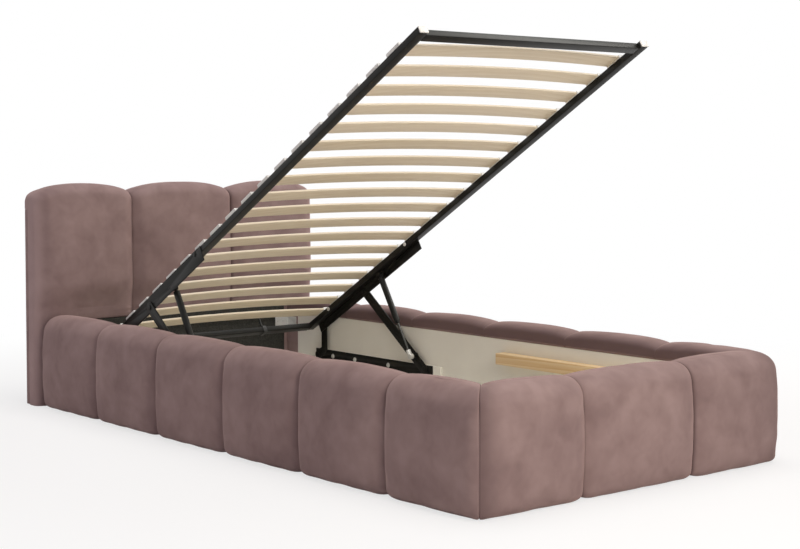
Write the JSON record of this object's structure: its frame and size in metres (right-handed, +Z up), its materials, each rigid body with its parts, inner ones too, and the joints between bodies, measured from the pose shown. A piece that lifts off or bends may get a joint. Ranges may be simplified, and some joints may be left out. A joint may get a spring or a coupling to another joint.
{
  "type": "upholstered storage bed",
  "caption": "Low upholstered single bed with padded rails and headboard; its slatted frame lifts on gas-sprung links over a storage box.",
  "frame": {"origin": "on the floor, under the middle of the bed", "axes": "+Z up, +Y from the foot end towards the headboard, +X to the right seen from the foot end"},
  "size_m": [1.2164, 2.395, 1.2411],
  "materials": {
    "mauve_velvet": "short-pile velvet over foam",
    "dark_lining": "matt non-woven lining on board",
    "grey_laminate": "pale grey laminated hardboard",
    "chipboard": "raw chipboard",
    "pine": "planed pine",
    "birch": "glued birch veneer, clear coated",
    "grey_plastic": "moulded plastic",
    "black_plastic": "moulded plastic",
    "black_steel": "black powder coat",
    "zinc_steel": "bright zinc plate",
    "bright_steel": "ground piston rod"
  },
  "bodies": {
    "bed_case": {"base_pivot_pins": "black_steel", "base_plate_bolts": "zinc_steel", "bracket_screws": "zinc_steel", "corner_brackets": "zinc_steel", "floor_battens": "pine", "floor_panels": "grey_laminate", "foot_liner": "grey_laminate", "foot_rail_board": "chipboard", "foot_rail_pad_centre": "mauve_velvet", "foot_rail_pad_left": "mauve_velvet", "foot_rail_pad_right": "mauve_velvet", "glides": "black_plastic", "head_lining": "dark_lining", "headboard_back_cover": "mauve_velvet", "headboard_battens": "pine", "headboard_board": "chipboard", "headboard_pad_centre": "mauve_velvet", "headboard_pad_left": "mauve_velvet", "headboard_pad_right": "mauve_velvet", "left_base_plate": "black_steel", "left_liner": "grey_laminate", "left_rail_board": "chipboard", "left_rail_pad_1": "mauve_velvet", "left_rail_pad_2": "mauve_velvet", "left_rail_pad_3": "mauve_velvet", "left_rail_pad_4": "mauve_velvet", "left_rail_pad_5": "mauve_velvet", "left_rail_pad_6": "mauve_velvet", "mechanism_spacers": "grey_laminate", "rail_end_wraps": "mauve_velvet", "right_base_plate": "black_steel", "right_liner": "grey_laminate", "right_rail_board": "chipboard", "right_rail_pad_1": "mauve_velvet", "right_rail_pad_2": "mauve_velvet", "right_rail_pad_3": "mauve_velvet", "right_rail_pad_4": "mauve_velvet", "right_rail_pad_5": "mauve_velvet", "right_rail_pad_6": "mauve_velvet", "support_battens": "pine"},
    "platform": {"left_side_tube": "black_steel", "right_side_tube": "black_steel", "foot_tube": "black_steel", "head_tube": "black_steel", "tube_caps": "grey_plastic", "slats": "birch", "slat_sockets": "grey_plastic", "left_lift_plate": "black_steel", "right_lift_plate": "black_steel", "lift_plate_bolts": "zinc_steel", "lift_plate_pins": "black_steel", "mattress_stop": "black_steel", "stop_clamps": "black_plastic"},
    "front_arms": {"left_front_arm": "black_steel", "right_front_arm": "black_steel", "arm_studs": "black_steel"},
    "rear_links": {"left_rear_link": "black_steel", "right_rear_link": "black_steel"},
    "gas_cylinders": {"gas_cylinders": "black_steel"},
    "gas_rods": {"gas_rods": "bright_steel"}
  },
  "joints": [
    {"name": "front_arm_swing", "type": "hinge", "parent": "bed_case", "child": "front_arms", "pos_m": [0, 0.2498, 0.13158], "axis": [-1, 0, 0], "range_deg": [0, 25.19]},
    {"name": "platform_lift", "type": "hinge", "parent": "front_arms", "child": "platform", "pos_m": [0, 0.5879, 0.38598], "axis": [-1, 0, 0], "range_deg": [-55.8, 0], "stiffness_Nm_per_rad": 30, "springref_deg": 148.97},
    {"name": "rear_link_swing", "type": "hinge", "parent": "bed_case", "child": "rear_links", "pos_m": [0, 0.87757, 0.1235], "axis": [-1, 0, 0], "range_deg": [0, 58.27]},
    {"name": "gas_cylinder_swing", "type": "hinge", "parent": "platform", "child": "gas_cylinders", "pos_m": [0, 0.46743, 0.45731], "axis": [-1, 0, 0], "range_deg": [0, 72.09]},
    {"name": "gas_rod_slide", "type": "slide", "parent": "gas_cylinders", "child": "gas_rods", "axis": [0, 0.522, 0.853], "range_m": [0, 0.10599]}
  ],
  "couplings": [
    {"joint": "front_arm_swing", "follows": "platform_lift", "ratio": -0.45111},
    {"joint": "rear_link_swing", "follows": "platform_lift", "ratio": -1.0438},
    {"joint": "gas_cylinder_swing", "follows": "platform_lift", "ratio": -1.2916},
    {"joint": "gas_rod_slide", "follows": "platform_lift", "m_per_rad": -0.10872}
  ]
}
